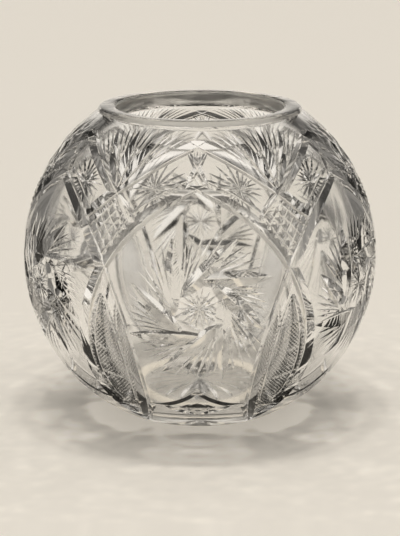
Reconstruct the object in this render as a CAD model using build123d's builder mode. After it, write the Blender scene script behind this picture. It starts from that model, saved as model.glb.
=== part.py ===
from build123d import *
from math import atan2, cos, hypot, radians, degrees, sin, sqrt, tan
import os

# Rose bowl of cut crystal: one heavy ball of glass, hollow, open at the top, with a flat base.
# The cutter grinds V-shaped mitres into it with stone wheels, in a pattern that repeats round it.
# Lengths are in millimetres. A place on the ball is a pair of angles in degrees: the turn round
# the upright axis from the front, and the height above or below the ball's widest ring.

# The blank. The shares are of the ball's radius: how high its centre is over the table, and how wide
# the rim and the base are.
ball_radius = 90.0
wall = 9.0
centre_share = 8 / 9
rim_share = 17 / 30
base_share = 73 / 180
floor_thickness = 13.5
floor_round = 14.0
rim_rise = 2.25
rim_round = 1.6
bevel_height = 1.9
ring_width = 6.5
recess_depth = 1.0

# The mitres: the width at the surface, and how far a V's sides lean from upright
mitre_slope = 52.0
main_width = 5.8
cross_width = 3.0
lattice_width = 3.4
run_past = 2.2
oval_run_share = 22 / 45

# How far the cutting tools stand clear of the ball, and how much further than needed they turn
cut_clearance = 0.8
sweep_share = 1.12

# How often each motif repeats
repeats = 6
vanes = 8

# Where the pattern's corners lie, as turn and height
inner_apex = (0.0, 33.5)
outer_apex = (0.0, 48.5)
crossing = (30.0, 31.0)
side_corner = (20.6, 22.4)
far_corner = (39.4, 22.4)
joining = (30.0, 8.0)
oval_side = (39.2, -27.0)
saltire_top = (4.6, 46.5)
saltire_foot = (-4.2, 33.1)
fan_heights = (52.5, 53.5, 52.5)
fan_turns = (16.0, 30.0, 44.0)
chevron_apex = (0.0, -32.7)
chevron_middle = (12.5, -40.6)
chevron_foot = (25.0, -41.8)
lens_top = (14.2, -41.3)
lens_foot = (0.0, -47.0)
pinwheel = (0.9, -2.4)

# The pinwheel, in degrees along the ball from its centre
vane_offset = 8.2
vane_start = -2.5
vane_reaches = (24.0, 20.6)

# How many lines cross each lozenge, along either pair of its sides
lattice_lines = 4

centre_height = ball_radius * centre_share
ball_centre = Vector(0, 0, centre_height)
inner_radius = ball_radius - wall
rim_radius = ball_radius * rim_share
mouth_radius = rim_radius - wall
base_radius = ball_radius * base_share
recess_radius = base_radius - ring_width
slope_ratio = tan(radians(mitre_slope))


def outward(place):
    """Direction from the ball's centre to a place given by its turn and height."""
    turn, height = radians(place[0]), radians(place[1])
    return Vector(sin(turn) * cos(height), -cos(turn) * cos(height), sin(height))


def between(first, last, share):
    """A place part of the way from one to another."""
    return (first[0] + (last[0] - first[0]) * share, first[1] + (last[1] - first[1]) * share)


def beside(place, across, up):
    """Direction to the point that lies some degrees across and up from a place, along the ball."""
    out = outward(place)
    right = Vector(cos(radians(place[0])), sin(radians(place[0])), 0)
    top = out.cross(right)
    if top.Z < 0:
        top = top * -1
    away = radians(hypot(across, up))
    heading = (right * across + top * up).normalized()
    return out * cos(away) + heading * sin(away)


def swept_v(hub, facing, axle, apex, top, depth, arc):
    """V section that is swept round an axle through the hub, half the arc to each side."""
    half_width = (depth + cut_clearance) * slope_ratio
    start = facing.rotate(Axis((0, 0, 0), axle), -arc / 2)
    section = Plane(origin=hub, x_dir=start, z_dir=start.cross(axle))
    with BuildPart() as cutter:
        with BuildSketch(section):
            with BuildLine():
                Polyline((apex, 0), (top, half_width), (top, -half_width), close=True)
            make_face()
        revolve(axis=Axis(hub, axle), revolution_arc=arc)
    return cutter.part


def mark(start, end, width):
    """Lens-shaped mark of a wheel, from one direction to another: deepest in the middle."""
    middle = (start + end).normalized()
    axle = start.cross(end).normalized()
    depth = width / 2 / slope_ratio
    half_angle = radians(start.get_angle(end)) / 2
    valley = ball_radius - depth
    level = ball_radius * cos(half_angle)
    reach = ball_radius * sin(half_angle)
    offset = (valley ** 2 - ball_radius ** 2) / (valley - level) / 2
    hub = ball_centre + middle * offset
    arc = 2 * degrees(atan2(reach, abs(level - offset)))
    top = ball_radius + cut_clearance - offset
    return swept_v(hub, middle, axle, valley - offset, top, depth, arc * sweep_share)


def flat_mark(start, end):
    """Straight mark whose valley is the chord from one direction to another."""
    middle = (start + end).normalized()
    half_angle = radians(start.get_angle(end)) / 2
    top = ball_radius * (1 - cos(half_angle)) + cut_clearance
    section = Plane(origin=ball_centre + middle * ball_radius * cos(half_angle), x_dir=middle,
                    z_dir=(end - start).normalized())
    with BuildPart() as cutter:
        with BuildSketch(section):
            with BuildLine():
                Polyline((0, 0), (top, top * slope_ratio), (top, -top * slope_ratio), close=True)
            make_face()
        extrude(amount=ball_radius * sin(half_angle), both=True)
    return cutter.part


def long_mitre(first, through, last, width, before=0.0, after=0.0):
    """Mitre of even depth along the circle through three places, run on at either end."""
    start, middle, end = outward(first), outward(through), outward(last)
    axle = (middle - start).cross(end - start).normalized()
    rise = axle.dot(start)
    foot = axle * rise
    ring = sqrt(1 - rise ** 2)
    sideways, onwards = (start - foot).normalized(), axle.cross((start - foot).normalized())
    sweep = degrees(atan2((end - foot).dot(onwards), (end - foot).dot(sideways))) % 360
    lead = degrees(before / ball_radius / ring)
    tail = degrees(after / ball_radius / ring)
    depth = width / 2 / slope_ratio
    return ring_v(axle, rise, ring, sideways, depth, -lead, sweep + tail)


def ring_v(axle, rise, ring, sideways, depth, begin, finish):
    """V section square to the ball, swept round an axle through the ball's centre."""
    valley, top = ball_radius - depth, ball_radius + cut_clearance
    half_width = (depth + cut_clearance) * slope_ratio
    start = sideways.rotate(Axis((0, 0, 0), axle), begin)
    section = Plane(origin=ball_centre, x_dir=start, z_dir=start.cross(axle))
    corners = [(valley * ring, valley * rise)]
    for side in (1, -1):
        corners.append((top * ring - side * half_width * rise,
                        top * rise + side * half_width * ring))
    with BuildPart() as cutter:
        with BuildSketch(section):
            with BuildLine():
                Polyline(*corners, close=True)
            make_face()
        revolve(axis=Axis(ball_centre, axle), revolution_arc=finish - begin)
    return cutter.part


def arches():
    """The pointed arch round each panel, which runs on down as the side of a pointed oval."""
    cuts = []
    for flip in (1, -1):
        inner = [(turn * flip, height) for turn, height in (inner_apex, joining, oval_side)]
        outer = [(turn * flip, height) for turn, height in (outer_apex, crossing, far_corner)]
        cuts.append(long_mitre(*inner, main_width, before=run_past,
                               after=ball_radius * oval_run_share))
        cuts.append(long_mitre(*outer, main_width, before=run_past))
    return cuts


def saltire():
    """Two mitres that cross above the arch's point."""
    cuts = []
    for flip in (1, -1):
        start, end = (saltire_foot[0] * flip, saltire_foot[1]), (saltire_top[0] * flip, saltire_top[1])
        cuts.append(mark(outward(start), outward(end), cross_width))
    return cuts


def fans():
    """Wide rays that spread from the crossing up to the plain band under the rim."""
    return [flat_mark(outward(crossing), outward(tip)) for tip in zip(fan_turns, fan_heights)]


def lattice():
    """Lines that cut each lozenge into small pyramids, parallel to its sides."""
    pairs = (((far_corner, joining), (crossing, side_corner)),
             ((side_corner, joining), (crossing, far_corner)))
    cuts = []
    for sides in pairs:
        for index in range(1, lattice_lines + 1):
            share = index / (lattice_lines + 1)
            ends = [outward(between(*side, share)) for side in sides]
            cuts.append(mark(*ends, lattice_width))
    return cuts


def panel():
    """The vanes of the pinwheel in the middle of each panel, long and short by turns."""
    cuts = []
    for index in range(vanes):
        heading = radians(90 - index * 360 / vanes)
        ends = []
        for reach in (vane_start, vane_reaches[index % 2]):
            across = reach * cos(heading) - vane_offset * sin(heading)
            up = reach * sin(heading) + vane_offset * cos(heading)
            ends.append(beside(pinwheel, across, up))
        cuts.append(flat_mark(*ends))
    return cuts


def foot_cuts():
    """The chevron at each panel's foot, and the flat oval under it."""
    cuts = []
    for flip in (1, -1):
        places = [(place[0] * flip, place[1]) for place in (chevron_apex, chevron_middle, chevron_foot)]
        cuts.append(long_mitre(*places, cross_width, before=run_past))
        low, side = lens_foot, (lens_top[0] * flip, lens_top[1])
        cuts.append(mark(outward(low), outward(side), cross_width))
    return cuts


pattern = panel() + fans() + arches() + saltire() + lattice() + foot_cuts()

with BuildPart() as bowl:
    with BuildSketch(Plane.XZ):
        shoulder = centre_height + sqrt(ball_radius ** 2 - rim_radius ** 2)
        rim_height = shoulder + rim_rise
        neck = centre_height + sqrt(inner_radius ** 2 - mouth_radius ** 2)
        bevel_radius = sqrt(ball_radius ** 2 - (centre_height - bevel_height) ** 2)
        floor_edge = sqrt(inner_radius ** 2 - (centre_height - floor_thickness) ** 2)
        with BuildLine():
            Polyline((0, recess_depth), (recess_radius, recess_depth), (recess_radius, 0),
                     (base_radius, 0), (bevel_radius, bevel_height))
            ThreePointArc((bevel_radius, bevel_height), (ball_radius, centre_height),
                          (rim_radius, shoulder))
            Polyline((rim_radius, shoulder), (rim_radius, rim_height), (mouth_radius, rim_height),
                     (mouth_radius, neck))
            ThreePointArc((mouth_radius, neck), (inner_radius, centre_height),
                          (floor_edge, floor_thickness))
            Polyline((floor_edge, floor_thickness), (0, floor_thickness), (0, recess_depth))
        make_face()
    revolve(axis=Axis.Z)
    rim_edges = bowl.edges().filter_by(GeomType.CIRCLE).group_by(Axis.Z)[-1]
    fillet(rim_edges, rim_round)
    floor_corner = bowl.edges().filter_by(GeomType.CIRCLE).filter_by(
        lambda edge: abs(edge.radius - floor_edge) < cut_clearance and
        abs(edge.arc_center.Z - floor_thickness) < cut_clearance)
    fillet(floor_corner, floor_round)
    for cutter in pattern:
        with PolarLocations(0, repeats):
            add(cutter, mode=Mode.SUBTRACT, clean=False)

bowl.part.label = "bowl"

os.makedirs("parts", exist_ok=True)
export_step(bowl.part, "parts/bowl.step")
print("bowl: volume", round(bowl.part.volume), "solids", len(bowl.part.solids()),
      "faces", len(bowl.part.faces()))
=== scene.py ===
# %% [markdown]
# # A rose bowl of cut crystal
#
# A rose bowl is one heavy ball of clear glass, hollow, open at the top and flat underneath. A glass
# blower makes the smooth ball, which is called the blank. A cutter then grinds a pattern of V-shaped
# grooves into it with stone wheels, and polishes them until they are as clear as the blank.
#
# The scene follows the same order: the blank is a profile turned round an axis, the wheel cuts are
# written down as a list, one Geometry Nodes tree makes a cutter of every entry and takes all of them
# from the blank at once, and then come the glass, the table and the light.

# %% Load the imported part
import bmesh
import bpy
from math import acos, asin, atan2, ceil, cos, degrees, hypot, pi, radians, sin, sqrt, tan
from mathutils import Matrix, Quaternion, Vector
from mathutils.bvhtree import BVHTree


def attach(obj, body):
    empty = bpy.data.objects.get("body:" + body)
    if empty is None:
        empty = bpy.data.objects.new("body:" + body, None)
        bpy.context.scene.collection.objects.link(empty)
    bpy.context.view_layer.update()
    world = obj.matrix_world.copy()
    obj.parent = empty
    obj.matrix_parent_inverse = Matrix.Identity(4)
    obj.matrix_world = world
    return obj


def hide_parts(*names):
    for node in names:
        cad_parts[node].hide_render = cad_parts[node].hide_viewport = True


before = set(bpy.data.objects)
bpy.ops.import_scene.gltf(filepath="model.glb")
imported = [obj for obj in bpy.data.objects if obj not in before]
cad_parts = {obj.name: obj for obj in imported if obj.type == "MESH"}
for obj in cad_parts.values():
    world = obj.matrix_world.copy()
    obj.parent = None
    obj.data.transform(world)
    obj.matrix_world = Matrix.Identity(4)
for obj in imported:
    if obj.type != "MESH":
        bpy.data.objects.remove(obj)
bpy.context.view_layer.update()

# %% [markdown]
# ## The blank
#
# The blank is round, so it could be a lathe shape in three ways: the Screw modifier on a drawn
# outline, a curve that a Geometry Nodes tree sweeps round, or rings of points that the script joins
# by itself. Rings are used here. They close exactly at the axis, without doubles to merge, and a
# closed skin with no gap is what the cuts need later on. The outline runs from the middle of the
# base out, up the outer ball, over the rim, down the short bore of the mouth and round the hollow.

# %% Sizes of the blank, in metres
mm = 0.001
ball_radius = 90 * mm
wall = 9 * mm
centre_height = 80 * mm
floor_thickness = 13.5 * mm
floor_round = 14 * mm
rim_radius = 51 * mm
mouth_radius = rim_radius - wall
rim_rise = 2.25 * mm
rim_height = centre_height + sqrt(ball_radius ** 2 - rim_radius ** 2) + rim_rise
rim_round = 1.6 * mm
neck_round = 5 * mm
base_radius = 36.5 * mm
bevel_height = 1.9 * mm
recess_radius = 30 * mm
recess_depth = 1 * mm
inner_radius = ball_radius - wall
neck_out = mouth_radius + neck_round
neck_height = centre_height + sqrt((inner_radius + neck_round) ** 2 - neck_out ** 2)
print("wall", wall, "m, hollow", round(2 * inner_radius, 4), "m across")

# %% The outline of the blank
sides_round = 192
outer_steps, inner_steps, lip_steps, corner_steps = 60, 32, 4, 6


def arc(centre, radius, first, last, steps):
    """Points on an arc, from one angle to another."""
    angles = [first + (last - first) * step / steps for step in range(steps + 1)]
    return [(centre[0] + radius * cos(a), centre[1] + radius * sin(a)) for a in angles]


def blank_outline():
    """Distance from the axis and height, from the middle of the base to the middle of the floor."""
    bevel = -acos(sqrt(ball_radius ** 2 - (centre_height - bevel_height) ** 2) / ball_radius)
    lip = rim_height - rim_round
    corner_height = floor_thickness + floor_round
    corner_out = sqrt((inner_radius - floor_round) ** 2 - (centre_height - corner_height) ** 2)
    corner_angle = atan2(corner_height - centre_height, corner_out)
    line = [(0, recess_depth), (recess_radius, recess_depth), (recess_radius, 0), (base_radius, 0)]
    line += arc((0, centre_height), ball_radius, bevel, acos(rim_radius / ball_radius), outer_steps)
    line += arc((rim_radius - rim_round, lip), rim_round, 0, pi / 2, lip_steps)
    line += arc((mouth_radius + rim_round, lip), rim_round, pi / 2, pi, lip_steps)
    neck_angle = atan2(neck_height - centre_height, neck_out)
    line += arc((neck_out, neck_height), neck_round, pi, pi + neck_angle, corner_steps)
    line += arc((0, centre_height), inner_radius, neck_angle, corner_angle, inner_steps)[1:]
    line += arc((corner_out, corner_height), floor_round, corner_angle, -pi / 2, corner_steps)[1:]
    return line + [(0, floor_thickness)]


outline = blank_outline()
print(len(outline), "points in the outline")

# %% Turn the outline round the axis
def turned(name, line, sides):
    """Closed mesh of an outline that is turned round the upright axis."""
    points, faces, rings = [], [], []
    for out, height in line:
        around = 1 if out == 0 else sides
        rings.append([len(points) + side % around for side in range(sides + 1)])
        points += [(out * cos(2 * pi * side / sides), out * sin(2 * pi * side / sides), height)
                   for side in range(around)]
    for low, high in zip(rings, rings[1:]):
        for side in range(sides):
            corners = (low[side], low[side + 1], high[side + 1], high[side])
            faces.append(tuple(dict.fromkeys(corners)))
    mesh = bpy.data.meshes.new(name)
    mesh.from_pydata(points, [], faces)
    return mesh


blank = bpy.data.objects.new("blank", turned("blank", outline, sides_round))
bpy.context.collection.objects.link(blank)
check = bmesh.new()
check.from_mesh(blank.data)
bmesh.ops.recalc_face_normals(check, faces=check.faces)
print("blank:", len(check.faces), "faces, open edges", sum(not e.is_manifold for e in check.edges),
      ", cm3:", round(check.calc_volume() * 1e6, 1))
check.to_mesh(blank.data)
check.free()

# %% [markdown]
# ## Places on the ball
#
# A cutter marks the pattern out on the blank with a pen before grinding. A place on the ball is
# written here as a turn and a height, both in degrees: the turn goes round the axis from the front,
# and the height is counted from the ball's widest ring. Two helpers change such a place into a
# direction from the ball's centre. The pattern comes back six times round the bowl, so only one of
# the six parts is written down.

# %% From a place to a direction
repeats = 6


def outward(place):
    """Direction from the ball's centre to a place."""
    turn, height = radians(place[0]), radians(place[1])
    return Vector((sin(turn) * cos(height), -cos(turn) * cos(height), sin(height)))


def beside(place, across, up):
    """Direction to the point that lies some degrees across and up from a place, along the ball."""
    out = outward(place)
    right = Vector((cos(radians(place[0])), sin(radians(place[0])), 0))
    top = right.cross(-out)
    away = radians(hypot(across, up))
    return out * cos(away) + (right * across + top * up).normalized() * sin(away)


def between(first, last, share):
    """A place part of the way from one to another."""
    return tuple(a + (b - a) * share for a, b in zip(first, last))


def mirrored(places, flip):
    """The same places on the other side of the panel's middle line."""
    return [(turn * flip, height) for turn, height in places]


print("front of the ball:", tuple(round(x, 3) for x in outward((0, 0))))

# %% [markdown]
# ## The wheel cuts
#
# Every groove is a mitre: a V that a pointed stone wheel leaves. Its valley follows a circle on the
# ball. It is either one long sweep of even depth, or a short mark that starts at nothing, gets
# deeper and wider, and runs out again, as the round wheel goes in and comes out. So one entry of the
# list says which circle a cut follows, how far, how deep, and how its depth rises and falls. The
# wheel's tip isn't quite sharp, so the wider grooves have a narrow floor that shows as a thin line.
# Real grooves are needed and not a bump on a smooth ball, because the glass bends light at every wall
# of them, on the near side and on the far side.

# %% The list of cuts
mitre_slope = radians(52)
slope_ratio = tan(mitre_slope)
cuts = []
long_steps, mark_steps, fine_steps = 40, 10, 4
rounded, firm, even, very_even = 2.0, 6.0, 12.0, 20.0
wheel_tip = 0.5 * mm


def enter(foot, first, second, sweep, width, skew, flatness, steps):
    """Writes one cut down: the circle foot + first * cos + second * sin, and its size."""
    cuts.append({"foot": foot, "first": first, "second": second, "sweep": sweep,
                 "depth": width / 2 / slope_ratio, "skew": skew, "flatness": flatness, "steps": steps,
                 "tip": 0.0 if steps == fine_steps else wheel_tip})


def mark(start, end, width, skew=1.0, flatness=rounded, steps=mark_steps):
    """A wheel mark between two directions. A skew under 1 moves its widest place towards the first."""
    onward = start.cross(end).normalized().cross(start)
    enter(Vector((0, 0, 0)), start, onward, start.angle(end), width, skew, flatness, steps)


def sweep_through(first, middle, last):
    """The circle on the ball through three places: its axle, how wide it opens, its start and sweep."""
    start, half, end = outward(first), outward(middle), outward(last)
    axle = (half - start).cross(end - start).normalized()
    side = (start - axle * axle.dot(start)).normalized()
    onward = axle.cross(side)
    return axle, acos(axle.dot(start)), side, atan2(end.dot(onward), end.dot(side)) % (2 * pi)


def long_mitre(places, width, before=0.0, after=0.0, aside=0.0, used=(0.0, 1.0), flatness=even):
    """A mitre of even depth along the circle through three places. It may run on at either end, keep
    some degrees aside of the circle, or use only a part of it."""
    axle, opening, side, sweep = sweep_through(*places)
    opening += radians(aside)
    ring = sin(opening)
    lead = before / ball_radius / ring - sweep * used[0]
    tail = after / ball_radius / ring - sweep * (1 - used[1])
    side = Quaternion(axle, -lead) @ side
    enter(axle * cos(opening), side * ring, axle.cross(side) * ring, sweep + lead + tail, width, 1.0,
          flatness, long_steps)


print("a V leans", round(degrees(mitre_slope)), "degrees, its depth is", round(1 / slope_ratio / 2, 2),
      "of its width")

# %% [markdown]
# ## Arches and pointed ovals
#
# The bowl's main lines are six pointed arches. Each side of an arch runs on below its neighbour's
# as the side of a pointed oval, so one long mitre draws both. A second pair of lines runs above it,
# and the two together frame a lozenge at each crossing. A thin line keeps inside every arch and
# outside every oval, as a cutter adds it to soften a wide mitre.

# %% Arches, ovals and the lines that go with them
main_width, thin_width = 5.8 * mm, 1.9 * mm
run_past, outer_run, oval_run = 4 * mm, 1 * mm, 50 * mm
inner_apex, outer_apex = (0, 33.5), (0, 48.5)
crossing, joining, oval_side = (30, 31), (30, 8), (39.2, -27)
side_corner, far_corner = (20.6, 22.4), (39.4, 22.4)
thin_aside = 3.4
arch_shares, oval_shares = (0.02, 0.46), (0.62, 1.0)

for flip in (1, -1):
    inner = mirrored((inner_apex, joining, oval_side), flip)
    outer = mirrored((outer_apex, crossing, far_corner), flip)
    long_mitre(inner, main_width, before=run_past, after=oval_run)
    long_mitre(outer, main_width, before=run_past, after=outer_run)
    long_mitre(inner, thin_width, aside=-thin_aside * flip, used=arch_shares, flatness=very_even)
    long_mitre(inner, thin_width, after=oval_run / 2, aside=thin_aside * flip, used=oval_shares,
               flatness=very_even)
print(len(cuts), "long mitres in each part")

# %% [markdown]
# ## Lozenges, crosses and fans
#
# Each lozenge is crossed by lines along either pair of its sides, which leaves rows of small
# pyramids. Over every arch stands a small cross, with thin rays in its upper notch. From every
# crossing wide rays spread up to the plain band under the rim, with thin rays between them. The wide
# ones are widest in their lower half, where the wheel was pressed in first.

# %% Lozenges and crosses
cross_width, lattice_width, lattice_lines = 3.0 * mm, 3.6 * mm, 4
cross_foot, cross_top = (-4.2, 33.1), (4.6, 46.5)
notch, notch_top, notch_rays = (0, 40.0), 46.6, 5
notch_spread, notch_drop, notch_width = 1.3, 0.35, 0.9 * mm

for lozenge_sides in (((far_corner, joining), (crossing, side_corner)),
                      ((side_corner, joining), (crossing, far_corner))):
    for line in range(1, lattice_lines + 1):
        share = line / (lattice_lines + 1)
        ends = [outward(between(*side, share)) for side in lozenge_sides]
        mark(*ends, lattice_width, flatness=firm)
for flip in (1, -1):
    mark(*map(outward, mirrored((cross_foot, cross_top), flip)), cross_width)
for ray in range(notch_rays):
    turn = notch_spread * (ray - (notch_rays - 1) / 2)
    tip = (turn, notch_top - notch_drop * abs(turn))
    mark(outward(notch), outward(tip), notch_width, steps=fine_steps)
print(len(cuts), "cuts in each part so far")

# %% Fans over the crossings
fan_width, fan_skew = 5.6 * mm, 0.7
fan_tips = [(2, 49.5), (16, 52.5), (30, 53.5), (44, 52.5), (58, 49.5)]
thin_rays, thin_ray_width, thin_ray_start = 3, 1.2 * mm, 12.0
thin_ray_bulge, thin_ray_drop = 1.5, 0.5
ray_skew = 0.8

for tip in fan_tips[1:-1]:
    mark(outward(crossing), outward(tip), fan_width, skew=fan_skew)
for left, right in zip(fan_tips, fan_tips[1:]):
    for ray in range(1, thin_rays + 1):
        share = ray / (thin_rays + 1)
        turn, height = between(left, right, share)
        height += thin_ray_bulge * sin(pi * share) - thin_ray_drop
        start, end = outward(crossing), outward((turn, height))
        start = Quaternion(start.cross(end).normalized(), radians(thin_ray_start)) @ start
        mark(start, end, thin_ray_width, skew=ray_skew, steps=fine_steps)
print(len(cuts), "cuts in each part so far")

# %% [markdown]
# ## Pinwheels and stars
#
# A pinwheel fills each panel: eight wide vanes lie round a small star and pass it on one side, with
# thin rays fanning out from the root of every vane. Two stars with rays of uneven length stand in
# the three-cornered fields between the arches. All of them are short wheel marks from one centre, so
# a loop over angles places them.

# %% The pinwheel of a panel
pinwheel, vane_width, vane_skew = (0.9, -2.4), 8.2 * mm, 0.75
vane_asides = (8.2, 6.5, 8.7, 8.3, 7.0, 7.5, 9.4, 9.6)
vane_starts = (-3.2, -1.5, -1.6, -3.5, -5.3, -0.5, -1.9, -2.9)
vane_reaches = (20.8, 22.6, 22.7, 19.5, 25.2, 24.2, 21.3, 19.8)
side_rays, side_ray_width, side_ray_start = 5, 1.8 * mm, 3.0
first_lean, lean_step, longest_share, share_step = 9, 8, 0.96, 0.05
hub_rays, hub_ray_width, hub_reach = 18, 1.4 * mm, 6.8
vanes = len(vane_reaches)

for vane, (aside, start, reach) in enumerate(zip(vane_asides, vane_starts, vane_reaches)):
    heading = radians(90 - 360 / vanes * vane)
    along, left = Vector((cos(heading), sin(heading))), Vector((-sin(heading), cos(heading)))
    ends = [along * far + left * aside for far in (start, reach)]
    mark(*[beside(pinwheel, *end) for end in ends], vane_width, skew=vane_skew)
    for ray in range(side_rays):
        lean = radians(first_lean + lean_step * ray)
        aim = along * cos(lean) + left * sin(lean)
        ray_reach = reach * (longest_share - share_step * ray)
        ends = [left * aside - along + aim * far for far in (side_ray_start, ray_reach)]
        mark(*[beside(pinwheel, *end) for end in ends], side_ray_width, skew=ray_skew, steps=fine_steps)
for ray in range(hub_rays):
    heading = 2 * pi * ray / hub_rays
    tip = beside(pinwheel, hub_reach * cos(heading), hub_reach * sin(heading))
    mark(outward(pinwheel), tip, hub_ray_width, skew=ray_skew, steps=fine_steps)
print(len(cuts), "cuts in each part so far")

# %% The stars beside the crosses
star, star_reach, star_ray_width = (15.2, 32.8), 10.6, 1.6 * mm
star_shares = (0.70, 0.56, 0.50, 0.47, 0.60, 0.74, 0.92, 1.00, 1.00, 0.96,
               0.90, 0.84, 0.66, 0.54, 0.56, 0.64, 0.76, 0.76, 0.72, 0.68)
for flip in (1, -1):
    middle = (star[0] * flip, star[1])
    for ray, share in enumerate(star_shares):
        heading, far = 2 * pi * ray / len(star_shares), star_reach * share
        tip = beside(middle, far * cos(heading) * flip, far * sin(heading))
        mark(outward(middle), tip, star_ray_width, skew=ray_skew, steps=fine_steps)
print(len(cuts), "cuts in each part so far")

# %% [markdown]
# ## The foot of a panel, and the hatching
#
# A chevron closes each panel at its foot, with a flat oval under it. The pointed ovals, and a small
# lozenge inside each foot, are filled with fine crossed lines one or two millimetres apart. Such
# hatching could be a bump texture, but here it is cut as well: the light breaks up in its little
# pyramids and gives the grey, silky look that the eye knows from cut crystal.

# %% Chevron and flat oval
chevron, chevron_run = ((0, -32.7), (12.5, -40.6), (25, -41.8)), 2 * mm
flat_oval = ((0, -47.0), (14.2, -41.3))
for flip in (1, -1):
    long_mitre(mirrored(chevron, flip), cross_width, before=chevron_run, after=chevron_run)
    mark(*map(outward, mirrored(flat_oval, flip)), cross_width)
print(len(cuts), "cuts in each part so far")

# %% Hatching
hatch_pitch, hatch_width, probe, fewest_spots = 1.45 * mm, 1.6 * mm, 0.5, 3
oval_middle, oval_half, oval_bend, oval_inset = (30, -25), 8.6, 50.0, 1.6
foot_middle, foot_half, foot_rise = (0, -42.0), 7.0, 2.6
oval_slant, oval_reach, foot_slant, foot_reach = pi / 4, 40, pi / 5, 8


def in_oval(across, up):
    """True inside the border of a pointed oval, in degrees from its middle."""
    if abs(up) >= oval_bend:
        return False
    return abs(across) < oval_half - oval_inset - (oval_bend - sqrt(oval_bend ** 2 - up ** 2))


def in_foot(across, up):
    """True inside the small lozenge at a panel's foot."""
    return abs(across) / foot_half + abs(up) / foot_rise < 1


def hatch(middle, inside, slant, reach):
    """Crossed lines over the part of the ball where inside says so."""
    pitch = degrees(hatch_pitch / ball_radius)
    for lean in (slant, -slant):
        along = Vector((cos(lean), sin(lean)))
        square = Vector((-along.y, along.x))
        for line in range(-ceil(reach / pitch), ceil(reach / pitch) + 1):
            spots = [square * line * pitch + along * step * probe
                     for step in range(-int(reach / probe), int(reach / probe) + 1)]
            spots = [spot for spot in spots if inside(*spot)]
            if len(spots) >= fewest_spots:
                ends = []
                for spot, grow in ((spots[0], -probe), (spots[-1], probe)):
                    across, up = spot + along * grow
                    height = middle[1] + up
                    ends.append(outward((middle[0] + across / cos(radians(height)), height)))
                mark(*ends, hatch_width, flatness=even, steps=fine_steps)


before = len(cuts)
hatch(oval_middle, in_oval, oval_slant, oval_reach)
hatch(foot_middle, in_foot, foot_slant, foot_reach)
print(len(cuts) - before, "hatching lines in each part,", len(cuts) * repeats, "cuts in all")

# %% [markdown]
# ## From the list to cutters
#
# The list goes into Blender as a mesh of loose points, one for each cut, whose attributes hold its
# numbers: a cut sheet. Making the cutters in Python would work too, but a Geometry Nodes tree shows
# how they are made, and its named inputs keep the slope and the number of repeats in one place.

# %% The cut sheet
sheet = bpy.data.meshes.new("cut_sheet")
sheet.from_pydata([(0, 0, 0)] * len(cuts), [], [])
for name in cuts[0]:
    is_vector = isinstance(cuts[0][name], Vector)
    kind = "FLOAT_VECTOR" if is_vector else "INT" if name == "steps" else "FLOAT"
    values = sheet.attributes.new(name, kind, "POINT").data
    for value, cut in zip(values, cuts):
        if is_vector:
            value.vector = cut[name]
        else:
            value.value = cut[name]
cut_sheet = bpy.data.objects.new("cut_sheet", sheet)
bpy.context.collection.objects.link(cut_sheet)
print("cut sheet:", len(sheet.vertices), "points with", list(cuts[0]))

# %% [markdown]
# ## A small language for nodes
#
# A node tree that is built in a script gets long, so a few short helpers make it readable: one adds
# any node and fills or links its inputs by name or number, two do sums with numbers and with vectors,
# and two read and store the attributes that hold the cuts' numbers.

# %% Helpers for node trees
def add_node(tree, kind, settings=None, inputs=None):
    """A new node. Inputs are values or other nodes' sockets, by name or by number."""
    node = tree.nodes.new(kind)
    for name, value in (settings or {}).items():
        setattr(node, name, value)
    for name, value in (inputs or {}).items():
        if isinstance(value, bpy.types.NodeSocket):
            tree.links.new(value, node.inputs[name])
        else:
            node.inputs[name].default_value = value
    return node


def math(tree, operation, first, second=0.0):
    """The result of a sum with two numbers."""
    return add_node(tree, "ShaderNodeMath", {"operation": operation}, {0: first, 1: second}).outputs[0]


def vector_math(tree, operation, first, second):
    """The result of a sum with vectors, or with a vector and a number when it scales."""
    slot = "Scale" if operation == "SCALE" else 1
    inputs = {0: first, slot: second}
    return add_node(tree, "ShaderNodeVectorMath", {"operation": operation}, inputs).outputs[0]


def named(tree, name, kind="FLOAT"):
    """The value of an attribute of the cut sheet."""
    settings = {"data_type": kind}
    return add_node(tree, "GeometryNodeInputNamedAttribute", settings, {"Name": name}).outputs[0]


def store(tree, geometry, name, value, kind):
    """The same geometry, with a value stored under a name on each of its points."""
    settings = {"data_type": kind, "domain": "POINT"}
    inputs = {"Geometry": geometry, "Name": name, "Value": value}
    return add_node(tree, "GeometryNodeStoreNamedAttribute", settings, inputs).outputs[0]


print("node helpers ready")

# %% [markdown]
# ## The tree that cuts the glass
#
# The tree copies the cut sheet once for each repeat and turns the copies round the axis. On every
# point it puts a bar with a section of three or four corners, then moves the bar's edges: one edge,
# or a narrow side, becomes the valley of the V, and the other two edges lie just outside the ball.
# The bars are split into separate cutters and a Mesh Boolean takes them all from the blank. Its
# Manifold solver is fast and leaves a closed skin, as long as each cutter is closed by itself.

# %% Inputs of the tree
mitres = bpy.data.node_groups.new("mitre_cuts", "GeometryNodeTree")
mitres.interface.new_socket("Cut sheet", in_out="INPUT", socket_type="NodeSocketGeometry")
tree_inputs = {}
cut_clearance = 0.3 * mm
for name, kind, value in (("Ball radius", "Float", ball_radius),
                          ("Centre height", "Float", centre_height),
                          ("Slope", "Float", slope_ratio), ("Clearance", "Float", cut_clearance),
                          ("Repeats", "Int", repeats), ("Blank", "Object", blank),
                          ("Glass", "Material", None)):
    socket = mitres.interface.new_socket(name, in_out="INPUT", socket_type="NodeSocket" + kind)
    tree_inputs[name] = (socket.identifier, value)
mitres.interface.new_socket("Cut bowl", in_out="OUTPUT", socket_type="NodeSocketGeometry")
given = mitres.nodes.new("NodeGroupInput").outputs
result = mitres.nodes.new("NodeGroupOutput").inputs
print("tree inputs:", list(tree_inputs))

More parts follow.
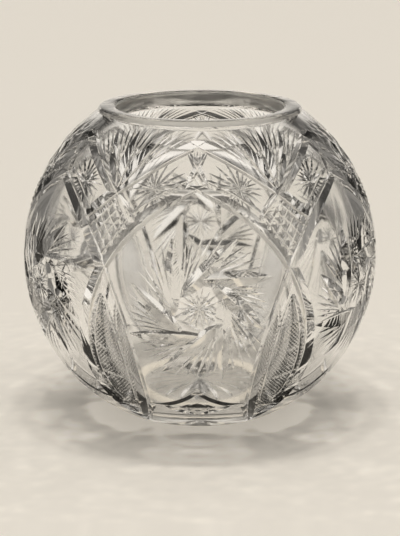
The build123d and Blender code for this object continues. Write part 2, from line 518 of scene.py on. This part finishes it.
# %% Copy and turn the cut sheet
copies = add_node(mitres, "GeometryNodeDuplicateElements", {"domain": "POINT"},
                  {"Geometry": given["Cut sheet"], "Amount": given["Repeats"]})
part_angle = math(mitres, "DIVIDE", 2 * pi, given["Repeats"])
angle = math(mitres, "MULTIPLY", copies.outputs["Duplicate Index"], part_angle)
marks = copies.outputs["Geometry"]
for name in ("foot", "first", "second"):
    turned_to = add_node(mitres, "ShaderNodeVectorRotate", {"rotation_type": "Z_AXIS"},
                         {"Vector": named(mitres, name, "FLOAT_VECTOR"), "Angle": angle})
    marks = store(mitres, marks, name, turned_to.outputs[0], "FLOAT_VECTOR")
index = mitres.nodes.new("GeometryNodeInputIndex").outputs[0]
marks = store(mitres, marks, "mark", index, "INT")
print(len(mitres.nodes), "nodes so far")

# %% Put a bar on every point, with as many steps as the cut needs
bars = add_node(mitres, "GeometryNodeJoinGeometry").inputs[0]
for steps in (long_steps, mark_steps, fine_steps):
    bar = add_node(mitres, "GeometryNodeMeshCylinder", {"fill_type": "NGON"},
                   {"Vertices": 3 if steps == fine_steps else 4, "Side Segments": steps, "Radius": 1.0,
                    "Depth": 1.0}).outputs[0]
    position = mitres.nodes.new("GeometryNodeInputPosition").outputs[0]
    bar = store(mitres, bar, "corner", position, "FLOAT_VECTOR")
    chosen = add_node(mitres, "FunctionNodeCompare", {"data_type": "INT", "operation": "EQUAL"},
                      {2: named(mitres, "steps", "INT"), 3: steps}).outputs[0]
    placed = add_node(mitres, "GeometryNodeInstanceOnPoints", {},
                      {"Points": marks, "Selection": chosen, "Instance": bar}).outputs[0]
    mitres.links.new(placed, bars)
loose_bars = add_node(mitres, "GeometryNodeRealizeInstances", {}, {0: bars.node.outputs[0]}).outputs[0]
print(len(mitres.nodes), "nodes so far")

# %% Bend each bar into a cutter
corner = add_node(mitres, "ShaderNodeSeparateXYZ", {},
                  {0: named(mitres, "corner", "FLOAT_VECTOR")}).outputs
share = add_node(mitres, "ShaderNodeClamp", {}, {0: math(mitres, "ADD", corner["Z"], 0.5)}).outputs[0]
theta = math(mitres, "MULTIPLY", named(mitres, "sweep"), share)
cosine, sine = math(mitres, "COSINE", theta), math(mitres, "SINE", theta)
first, second = named(mitres, "first", "FLOAT_VECTOR"), named(mitres, "second", "FLOAT_VECTOR")
on_circle = vector_math(mitres, "ADD", vector_math(mitres, "SCALE", first, cosine),
                        vector_math(mitres, "SCALE", second, sine))
on_ball = vector_math(mitres, "ADD", named(mitres, "foot", "FLOAT_VECTOR"), on_circle)
forward = vector_math(mitres, "SUBTRACT", vector_math(mitres, "SCALE", second, cosine),
                      vector_math(mitres, "SCALE", first, sine))
sideways = add_node(mitres, "ShaderNodeVectorMath", {"operation": "NORMALIZE"},
                    {0: vector_math(mitres, "CROSS_PRODUCT", on_ball, forward)}).outputs[0]
skewed = math(mitres, "POWER", share, named(mitres, "skew"))
from_middle = math(mitres, "SUBTRACT", math(mitres, "MULTIPLY", skewed, 2.0), 1.0)
fall = math(mitres, "POWER", math(mitres, "ABSOLUTE", from_middle), named(mitres, "flatness"))
depth = math(mitres, "MULTIPLY", named(mitres, "depth"), math(mitres, "SUBTRACT", 1.0, fall))
valley = math(mitres, "GREATER_THAN", math(mitres, "SUBTRACT", corner["X"], corner["Y"]), 0.5)
edge = math(mitres, "SUBTRACT", 1.0, valley)
lift = math(mitres, "SUBTRACT", math(mitres, "MULTIPLY", edge, given["Clearance"]),
            math(mitres, "MULTIPLY", valley, depth))
radius = math(mitres, "ADD", given["Ball radius"], lift)
flare = math(mitres, "MULTIPLY", math(mitres, "ADD", depth, given["Clearance"]), given["Slope"])
half_width = math(mitres, "ADD", math(mitres, "MULTIPLY", flare, edge),
                  math(mitres, "MULTIPLY", named(mitres, "tip"), 0.5))
side = math(mitres, "SIGN", math(mitres, "ADD", corner["X"], corner["Y"]))
offset = math(mitres, "MULTIPLY", side, half_width)
centre = add_node(mitres, "ShaderNodeCombineXYZ", {}, {"Z": given["Centre height"]}).outputs[0]
bent = vector_math(mitres, "ADD", vector_math(mitres, "SCALE", on_ball, radius),
                   vector_math(mitres, "SCALE", sideways, offset))
bent = vector_math(mitres, "ADD", bent, centre)
cutters = add_node(mitres, "GeometryNodeSetPosition", {},
                   {"Geometry": loose_bars, "Position": bent}).outputs[0]
print(len(mitres.nodes), "nodes so far")

# %% [markdown]
# ## The star under the base
#
# The base of a crystal bowl nearly always has a star of rays that meet in its middle. Nobody sees it
# from the side, but it sparkles through the floor. One ray is a slim four-sided spindle, half sunk in
# the base, and the tree puts a ring of them round the axis.

# %% A ring of spindles for the base star
base_rays, base_ray_length, base_ray_width, base_ray_height = 20, 29 * mm, 6.6 * mm, 5.6 * mm
spindle = add_node(mitres, "GeometryNodeMeshUVSphere", {},
                   {"Segments": 4, "Rings": 6, "Radius": 0.5}).outputs[0]
spindle = add_node(mitres, "GeometryNodeTransform", {},
                   {"Geometry": spindle, "Rotation": (0, pi / 2, 0)}).outputs[0]
spindle = add_node(mitres, "GeometryNodeTransform", {},
                   {"Geometry": spindle, "Translation": (base_ray_length / 2, 0, recess_depth),
                    "Scale": (base_ray_length, base_ray_width, base_ray_height)}).outputs[0]
centres = add_node(mitres, "GeometryNodePoints", {}, {"Count": base_rays}).outputs[0]
ray_number = mitres.nodes.new("GeometryNodeInputIndex").outputs[0]
ray_turn = add_node(mitres, "ShaderNodeCombineXYZ", {},
                    {"Z": math(mitres, "MULTIPLY", ray_number, 2 * pi / base_rays)}).outputs[0]
base_star = add_node(mitres, "GeometryNodeInstanceOnPoints", {},
                     {"Points": centres, "Instance": spindle, "Rotation": ray_turn}).outputs[0]
print("base star of", base_rays, "rays")

# %% Cut, and give the glass
parts = add_node(mitres, "GeometryNodeSplitToInstances", {"domain": "FACE"},
                 {"Geometry": cutters, "Group ID": named(mitres, "mark", "INT")}).outputs[0]
body = add_node(mitres, "GeometryNodeObjectInfo", {}, {"Object": given["Blank"]}).outputs["Geometry"]
cutting = add_node(mitres, "GeometryNodeMeshBoolean", {"operation": "DIFFERENCE", "solver": "MANIFOLD"},
                   {"Mesh 1": body, "Mesh 2": parts}).outputs[0]
mitres.links.new(base_star, cutting.node.inputs["Mesh 2"])
whole = add_node(mitres, "GeometryNodeRealizeInstances", {}, {0: cutting}).outputs[0]
glazed = add_node(mitres, "GeometryNodeSetMaterial", {},
                  {"Geometry": whole, "Material": given["Glass"]}).outputs[0]
mitres.links.new(glazed, result[0])
print(len(mitres.nodes), "nodes in the tree")

# %% [markdown]
# ## The glass
#
# Lead crystal is clear and bends light more than window glass. The Principled shader does this with
# full transmission and its index of refraction. Real hand-cut glass isn't perfect: the polished
# walls of the grooves stay a little wavy, and the ring that it stands on is worn dull. Both follow
# the place on the bowl, so they are noise on object coordinates in a node group of their own. Satin
# places scatter light and let less of it through. Their darker tint stands for this in part, and is
# in part painted shade that makes the hatched fields and the bore look grey.

# %% The polish of hand-cut glass, as a node group
def shader_group(name, inputs, outputs):
    """An empty shader node group with named number inputs and outputs."""
    group = bpy.data.node_groups.new(name, "ShaderNodeTree")
    for label, value in inputs.items():
        socket = group.interface.new_socket(label, in_out="INPUT", socket_type="NodeSocketFloat")
        socket.default_value = value
    for label in outputs:
        group.interface.new_socket(label, in_out="OUTPUT", socket_type="NodeSocketFloat")
    return group, group.nodes.new("NodeGroupInput").outputs, group.nodes.new("NodeGroupOutput").inputs


polish_inputs = {"Wave scale": 60.0, "Wear": 0.25, "Wear height": 0.4 * mm, "Scuff scale": 900.0}
polish, asked, gives = shader_group("hand_polish", polish_inputs, ("Height", "Roughness"))
on_bowl = polish.nodes.new("ShaderNodeTexCoord").outputs["Object"]
waves = add_node(polish, "ShaderNodeTexNoise", {},
                 {"Vector": on_bowl, "Scale": asked["Wave scale"], "Detail": 1.0})
polish.links.new(waves.outputs["Fac"], gives["Height"])
height = add_node(polish, "ShaderNodeSeparateXYZ", {}, {0: on_bowl}).outputs["Z"]
low = math(polish, "LESS_THAN", height, asked["Wear height"])
scuffs = add_node(polish, "ShaderNodeTexNoise", {},
                  {"Vector": on_bowl, "Scale": asked["Scuff scale"], "Detail": 2.0}).outputs["Fac"]
worn = math(polish, "MULTIPLY", math(polish, "MULTIPLY", low, asked["Wear"]), scuffs)
polish.links.new(worn, gives["Roughness"])
print("hand_polish:", len(polish.nodes), "nodes")

# %% The crystal
ior, clear_tint = 1.545, (0.985, 0.985, 0.98)
wave_strength, wave_height = 0.05, 0.1 * mm
hatch_satin, bore_satin, hollow_haze = 0.10, 0.30, 0.065
satin_clearness_and_painted_shade = 0.68

crystal = bpy.data.materials.new("lead_crystal")
crystal.use_nodes = True
glass = crystal.node_tree
glass_inputs = glass.nodes["Principled BSDF"].inputs
glass_inputs["IOR"].default_value = ior
glass_inputs["Transmission Weight"].default_value = 1.0
finish = add_node(glass, "ShaderNodeGroup", {"node_tree": polish}).outputs
bump = add_node(glass, "ShaderNodeBump", {},
                {"Strength": wave_strength, "Distance": wave_height, "Height": finish["Height"]})
glass.links.new(bump.outputs["Normal"], glass_inputs["Normal"])
satin_and_painted_shade = add_node(glass, "ShaderNodeAttribute", {"attribute_name": "satin"}).outputs["Fac"]
haze = add_node(glass, "ShaderNodeAttribute", {"attribute_name": "haze"}).outputs["Fac"]
dull = math(glass, "ADD", haze, satin_and_painted_shade)
glass.links.new(math(glass, "ADD", finish["Roughness"], dull), glass_inputs["Roughness"])
# Painted shade: satin faces get a darker tint, in part for the light they lose, in part to look grey.
clearness_and_painted_shade = add_node(glass, "ShaderNodeMapRange", {},
                     {"Value": satin_and_painted_shade, "From Max": hatch_satin, "To Min": 1.0,
                      "To Max": satin_clearness_and_painted_shade}).outputs[0]
glass.links.new(vector_math(glass, "SCALE", clear_tint, clearness_and_painted_shade), glass_inputs["Base Color"])
print("crystal bends light", ior, "times")

# %% [markdown]
# ## The cut bowl
#
# Now the tree has all that it needs: the cut sheet, the blank and the glass. It runs once, as a
# modifier on the cut sheet, and its result is kept as a plain mesh, which can be shaded, marked and
# exported like any other. The cut sheet and the blank have done their work and go away.

# %% Cut the bowl
modifier = cut_sheet.modifiers.new("cuts", "NODES")
modifier.node_group = mitres
for name, (identifier, value) in tree_inputs.items():
    modifier[identifier] = crystal if name == "Glass" else value
depsgraph = bpy.context.evaluated_depsgraph_get()
bowl_mesh = bpy.data.meshes.new_from_object(cut_sheet.evaluated_get(depsgraph), depsgraph=depsgraph)
bowl_mesh.name = "cut_bowl"
bowl = bpy.data.objects.new("cut_bowl", bowl_mesh)
bpy.context.collection.objects.link(bowl)
cut_sheet.modifiers.remove(modifier)
bpy.data.objects.remove(cut_sheet)
bpy.data.objects.remove(blank)
triangles = sum(len(face.vertices) - 2 for face in bowl_mesh.polygons)
print("cut bowl:", len(bowl_mesh.polygons), "faces,", triangles, "triangles")

# %% [markdown]
# ## Crisp edges, smooth walls
#
# A groove's wall is curved along its length but meets the ball and the next wall at a sharp edge.
# Smooth shading with a sharp-edge angle gives both. The uncut glass gets exact normals, straight out
# from the centre, so that no flat little faces of the turned ball show in the refraction.

# %% Shading
edge_angle, on_skin, square_on = radians(14), 0.08 * mm, 0.999
for face in bowl_mesh.polygons:
    face.use_smooth = True
bowl_mesh.set_sharp_from_angle(angle=edge_angle)
ball_centre = Vector((0, 0, centre_height))
normals = [(0.0, 0.0, 0.0)] * len(bowl_mesh.loops)
exact = 0
for face in bowl_mesh.polygons:
    out = (face.center - ball_centre).normalized()
    facing = face.normal.dot(out)
    distance = (face.center - ball_centre).length
    outer = facing > square_on and abs(distance - ball_radius) < on_skin
    hollow = facing < -square_on and abs(distance - inner_radius) < on_skin
    if outer or hollow:
        exact += 1
        for loop in face.loop_indices:
            point = bowl_mesh.vertices[bowl_mesh.loops[loop].vertex_index].co
            normals[loop] = (point - ball_centre).normalized() * (1 if outer else -1)
bowl_mesh.normals_split_custom_set(normals)
print(exact, "faces of the uncut skin have exact normals")

# %% [markdown]
# ## Satin places
#
# Polish can't reach the bottom of the finest lines, so the hatched fields stay a little satin and
# look silky grey. The short bore of the mouth is ground last, and stays satin too. No wheel ever
# touches the skin of the hollow, which keeps a breath of haze: it makes the pattern of the far side
# look soft behind the near one. The script writes the roughness of these faces in two attributes,
# and the glass reads them. Where the satin one is set, the glass also darkens its tint: painted
# shade, added to the grey that the satin gives.

# %% Mark the satin faces
for name in ("satin", "haze"):
    bowl_mesh.attributes.new(name, "FLOAT", "FACE")
satin, hazy = (bowl_mesh.attributes[name].data for name in ("satin", "haze"))
inward, groove_wall = -0.9, 0.95
bore_foot, bore_out = neck_height - neck_round / 2, mouth_radius + rim_round / 2
part = 360 / repeats
hatched = ground = 0
for face in bowl_mesh.polygons:
    out = (face.center - ball_centre).normalized()
    turn, rise = degrees(atan2(out.x, -out.y)) % part, degrees(asin(out.z))
    narrow = cos(radians(rise))
    facing = face.normal.dot(out)
    if facing < inward and face.center.z < neck_height:
        hazy[face.index].value = hollow_haze
    in_field = (in_oval((turn - oval_middle[0]) * narrow, rise - oval_middle[1])
                or in_foot(((turn + part / 2) % part - part / 2) * narrow, rise - foot_middle[1]))
    if in_field and 0 < facing < groove_wall:
        satin[face.index].value = hatch_satin
        hatched += 1
    if face.center.z > bore_foot and hypot(face.center.x, face.center.y) < bore_out:
        satin[face.index].value = bore_satin
        ground += 1
print(hatched, "hatched faces and", ground, "faces of the bore")

# %% Put the bowl on the frame
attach(bowl, "root")
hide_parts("bowl")
print("cut_bowl stands for the packed part's bowl")

# %% [markdown]
# ## Light through the glass
#
# Under a cut bowl lies a shadow with bright petals in it: the light that the grooves have bent aside.
# A renderer finds such light only slowly and with much noise. Here the script follows it by itself:
# many rays come down side by side from each lamp. At each skin of the glass they bend as the glass's
# index says and lose a little light, or else bounce off inside. They leave the rest of their light
# where they land on the table.

# %% Follow a ray of a lamp
lamp_leans, ray_spacing, most_bends = ((-5, 3), (5, 3)), 0.62 * mm, 14
light_reach, light_step = 0.16, 2 * mm
table_touch, nudge = 0.01 * mm, 0.001 * mm
kept_share, flattest_fall = 0.95, 0.05
skin = BVHTree.FromPolygons([point.co for point in bowl_mesh.vertices],
                            [tuple(face.vertices) for face in bowl_mesh.polygons])
light_cells = 2 * round(light_reach / light_step)
glow = [[0.0] * (light_cells + 1) for _ in range(light_cells + 1)]


def lamp_ray(lean):
    """Direction in which a lamp shines that leans some degrees sideways and some to the back."""
    return Vector((tan(radians(lean[0])), -tan(radians(lean[1])), -1)).normalized()


def follow(point, ray):
    """Where a ray of the lamp lands on the table and how much of its light is left, or None."""
    left = 1.0
    for bends in range(most_bends):
        spot, normal, _, _ = skin.ray_cast(point, ray)
        if spot is None or spot.z < table_touch:
            lands = bends > 0 and -ray.z > flattest_fall
            return (point + ray * (point.z / -ray.z), left) if lands else None
        facing = -ray.dot(normal)
        bend = 1 / ior if facing > 0 else ior
        normal, facing = (normal, facing) if facing > 0 else (-normal, -facing)
        inner = 1 - bend ** 2 * (1 - facing ** 2)
        if inner > 0:
            ray = (ray * bend + normal * (bend * facing - sqrt(inner))).normalized()
            left *= kept_share
        else:
            ray = ray + normal * 2 * facing
        point = spot + ray * nudge
    return None


def leave_light(place, amount):
    """Shares the light of one ray out over the four corners of the table's cell that it lands in."""
    u, v = (place.x + light_reach) / light_step, (place.y + light_reach) / light_step
    i, j = int(u), int(v)
    inside = 0 < u and 0 < v and i < light_cells and j < light_cells
    if inside:
        for di, share_x in ((0, 1 - u + i), (1, u - i)):
            for dj, share_y in ((0, 1 - v + j), (1, v - j)):
                glow[i + di][j + dj] += amount * share_x * share_y
    return inside


print("lamp rays", round(ray_spacing / mm, 2), "mm apart")

# %% Rain the lamps' rays on the bowl
beam_radius, beam_start = ball_radius * 1.04, 150 * mm


def smoothed(rows):
    """A grid with each row evened out along its length, and the grid turned over."""
    soft = [[0.25 * (row[max(at - 1, 0)] + row[min(at + 1, light_cells)]) + 0.5 * row[at]
             for at in range(light_cells + 1)] for row in rows]
    return [list(column) for column in zip(*soft)]


across = ceil(beam_radius / ray_spacing)
ray_light = (ray_spacing / light_step) ** 2 / len(lamp_leans)
followed = landed = 0
for lean in lamp_leans:
    down = lamp_ray(lean)
    for column in range(-across, across + 1):
        for row in range(-across, across + 1):
            x, y = (column + row % 2 / 2) * ray_spacing, row * ray_spacing
            if hypot(x, y) < across * ray_spacing:
                followed += 1
                landing = follow(Vector((x, y, centre_height)) - down * beam_start, down)
                if landing:
                    landed += leave_light(landing[0], landing[1] * ray_light)
glow = smoothed(smoothed(glow))
print(followed, "rays followed,", landed, "land near the bowl")

# %% [markdown]
# ## Table and light
#
# Glass has no colour of its own to show: it shows what is around it. So the room is made with care.
# The table is pale and warm, two distant lamps give the shadow, and the room is a gradient in the
# world shader: bright at the level of the table and overhead, dark between, which draws the groove
# walls as light and dark bands. Grey cards stand behind the glass at either side, as a photographer
# puts them, and darken the edges of the ball. The glass doesn't mirror the lamps, so that it has no
# burnt spots. The petals glow on the paper more strongly than their rays alone would make them, so
# that the light of the room doesn't wash them out.

# %% The table, with a fine grid where the petals of light lie
outer_lines = [0.22, 0.4, 1.0, 3.2]
fine_lines = [light_step * cell - light_reach for cell in range(light_cells + 1)]
lines = [-line for line in reversed(outer_lines)] + fine_lines + outer_lines
size = len(lines)
table_mesh = bpy.data.meshes.new("table")
table_mesh.from_pydata([(x, y, 0) for x in lines for y in lines], [],
                       [(i * size + j, (i + 1) * size + j, (i + 1) * size + j + 1, i * size + j + 1)
                        for i in range(size - 1) for j in range(size - 1)])
glows = table_mesh.attributes.new("glow", "FLOAT", "POINT").data
for i in range(light_cells + 1):
    for j in range(light_cells + 1):
        glows[(i + len(outer_lines)) * size + j + len(outer_lines)].value = glow[i][j]
table = bpy.data.objects.new("table", table_mesh)
bpy.context.collection.objects.link(table)
print("table", 2 * lines[-1], "m across with", len(table_mesh.polygons), "faces")

# %% Paper on the table
warm_light, warm_paper = (1.0, 0.945, 0.865), (0.875, 0.852, 0.807)
lamp_strength, petal_gain, brightest_petal = 0.82, 2.6, 1.15
paper_material = bpy.data.materials.new("table_paper")
paper_material.use_nodes = True
paper = paper_material.node_tree
paper_inputs = paper.nodes["Principled BSDF"].inputs
paper_inputs["Base Color"].default_value = warm_paper + (1,)
paper_inputs["Roughness"].default_value = 0.6
paper_inputs["Specular IOR Level"].default_value = 0.2
petal_colour = tuple(light * shade for light, shade in zip(warm_light, warm_paper))
# Painted light: the petals that the script traced are painted into the paper as a glow, not lit by the
# lamps.
paper_inputs["Emission Color"].default_value = petal_colour + (1,)
petals = add_node(paper, "ShaderNodeAttribute", {"attribute_name": "glow"}).outputs["Fac"]
petals = math(paper, "MINIMUM", math(paper, "MULTIPLY", petals, petal_gain), brightest_petal)
paper.links.new(math(paper, "MULTIPLY", petals, lamp_strength / pi), paper_inputs["Emission Strength"])
table_mesh.materials.append(paper_material)
print("paper of colour", warm_paper)

# %% The room
world = bpy.data.worlds.new("room")
bpy.context.scene.world = world
world.use_nodes = True
room = world.node_tree
room.nodes.clear()
direction = add_node(room, "ShaderNodeTexCoord").outputs["Generated"]
up = add_node(room, "ShaderNodeSeparateXYZ", {}, {0: direction}).outputs["Z"]
ramp = add_node(room, "ShaderNodeValToRGB", {}, {0: up})
zones = ((0.0, 0.98), (0.16, 0.98), (0.23, 0.06), (0.55, 0.06), (0.71, 0.98), (1.0, 0.96))
stops = ramp.color_ramp.elements
for number, (at, level) in enumerate(zones):
    stop = stops[0] if number == 0 else stops[-1] if number == len(zones) - 1 else stops.new(at)
    stop.position = at
    stop.color = tuple(level * shade for shade in warm_light) + (1,)
background = add_node(room, "ShaderNodeBackground", {}, {0: ramp.outputs[0]})
add_node(room, "ShaderNodeOutputWorld", {}, {0: background.outputs[0]})
print("room with", len(zones), "zones")

# %% Grey cards behind the glass, to the left and right
card_out, card_top, card_steps = 0.4, 0.3, 8
card_turns = ((32, 64, 0.15), (66, 94, 0.22))
for flip in (1, -1):
    for first_turn, last_turn, level in card_turns:
        turns = [radians(flip * (first_turn + (last_turn - first_turn) * step / card_steps))
                 for step in range(card_steps + 1)]
        points = [(card_out * sin(turn), card_out * cos(turn), height)
                  for turn in turns for height in (0, card_top)]
        card_mesh = bpy.data.meshes.new("side_card")
        card_mesh.from_pydata(points, [], [(2 * step, 2 * step + 2, 2 * step + 3, 2 * step + 1)
                                           for step in range(card_steps)])
        card = bpy.data.objects.new("side_card", card_mesh)
        bpy.context.collection.objects.link(card)
        grey = bpy.data.materials.new("grey_card")
        grey.use_nodes = True
        grey_inputs = grey.node_tree.nodes["Principled BSDF"].inputs
        grey_inputs["Base Color"].default_value = (0.02, 0.02, 0.02, 1)
        grey_inputs["Roughness"].default_value = 1.0
        grey_inputs["Emission Color"].default_value = warm_light + (1,)
        grey_inputs["Emission Strength"].default_value = level
        card_mesh.materials.append(grey)
        card.visible_camera = card.visible_diffuse = card.visible_shadow = False
print(2 * len(card_turns), "side cards")

# %% The lamps
lamp_angle, lamp_distance = radians(5), 1.1
for lean in lamp_leans:
    lamp = bpy.data.lights.new("lamp", "SUN")
    lamp.energy, lamp.angle, lamp.color = lamp_strength / len(lamp_leans), lamp_angle, warm_light
    lamp_object = bpy.data.objects.new("lamp", lamp)
    lamp_object.rotation_euler = lamp_ray(lean).to_track_quat("-Z", "Y").to_euler()
    lamp_object.location = -lamp_ray(lean) * lamp_distance
    lamp_object.visible_glossy = lamp_object.visible_transmission = False
    bpy.context.collection.objects.link(lamp_object)
print(len(lamp_leans), "lamps")

# %% [markdown]
# ## The camera
#
# The photograph was taken from the front, a little above the rim, with a long lens. The distance and
# the tilt come from the ball's outline and from how open the ellipse of the rim looks.

# %% Camera
camera_out, camera_up, camera_turn, camera_pitch = 0.806, 0.2088, radians(1.1), radians(15.08)
sensor, lens, most_bounces = 36, 108.87, 24
camera_data = bpy.data.cameras.new("camera")
camera_data.sensor_width, camera_data.lens, camera_data.clip_start = sensor, lens, 0.02
camera = bpy.data.objects.new("camera", camera_data)
camera.location = (camera_out * sin(camera_turn), -camera_out * cos(camera_turn),
                   centre_height + camera_up)
camera.rotation_euler = (pi / 2 - camera_pitch, 0, camera_turn)
bpy.context.collection.objects.link(camera)
scene = bpy.context.scene
scene.camera = camera
scene.view_settings.view_transform = "Standard"
scene.cycles.max_bounces = most_bounces
scene.cycles.transmission_bounces = most_bounces
print("lens", lens, "mm")
